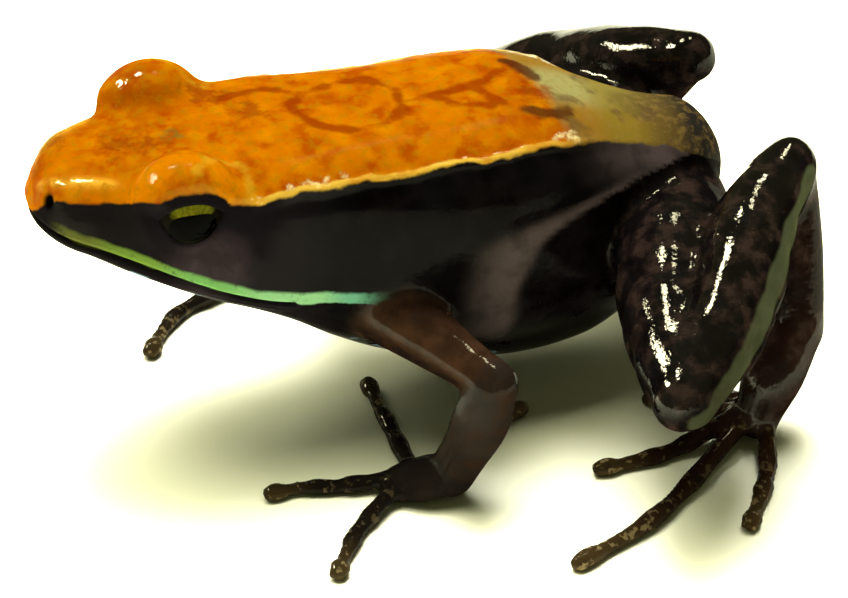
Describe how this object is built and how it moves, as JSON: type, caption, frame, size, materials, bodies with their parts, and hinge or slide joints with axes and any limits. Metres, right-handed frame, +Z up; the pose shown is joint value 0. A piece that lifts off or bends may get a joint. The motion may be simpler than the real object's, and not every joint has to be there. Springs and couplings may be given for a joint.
{
  "type": "brown mantella frog",
  "caption": "Life-size still model of a brown mantella, a small smooth ground frog with orange back and black flanks, standing with its head raised and hind legs folded",
  "frame": {"origin": "on the floor under the middle of the plan of the whole frog, toes included", "axes": "the snout points to -Y, the frog's left side is +X and up is +Z"},
  "size_m": [0.0268, 0.0258, 0.0117],
  "materials": {
    "back_and_flank_skin": "smooth moist skin, orange above and black on the sides",
    "upper_arm_skin": "smooth moist rufous brown skin",
    "limb_skin": "glossy black-brown skin with faint marbling",
    "eye_cornea": "glossy black eye with a gold rim above"
  },
  "bodies": {
    "root": {"head": "back_and_flank_skin", "torso": "back_and_flank_skin", "eye_left": "eye_cornea", "upper_arm_left": "upper_arm_skin", "forearm_left": "limb_skin", "hand_left": "limb_skin", "finger_left_1": "limb_skin", "finger_left_2": "limb_skin", "finger_left_3": "limb_skin", "finger_left_4": "limb_skin", "thigh_left": "limb_skin", "shank_left": "limb_skin", "tarsus_left": "limb_skin", "foot_left": "limb_skin", "toe_left_1": "limb_skin", "toe_left_2": "limb_skin", "toe_left_3": "limb_skin", "toe_left_4": "limb_skin", "toe_left_5": "limb_skin", "eye_right": "eye_cornea", "upper_arm_right": "upper_arm_skin", "forearm_right": "limb_skin", "hand_right": "limb_skin", "finger_right_1": "limb_skin", "finger_right_2": "limb_skin", "finger_right_3": "limb_skin", "finger_right_4": "limb_skin", "thigh_right": "limb_skin", "shank_right": "limb_skin", "tarsus_right": "limb_skin", "foot_right": "limb_skin", "toe_right_1": "limb_skin", "toe_right_2": "limb_skin", "toe_right_3": "limb_skin", "toe_right_4": "limb_skin", "toe_right_5": "limb_skin"}
  },
  "joints": []
}
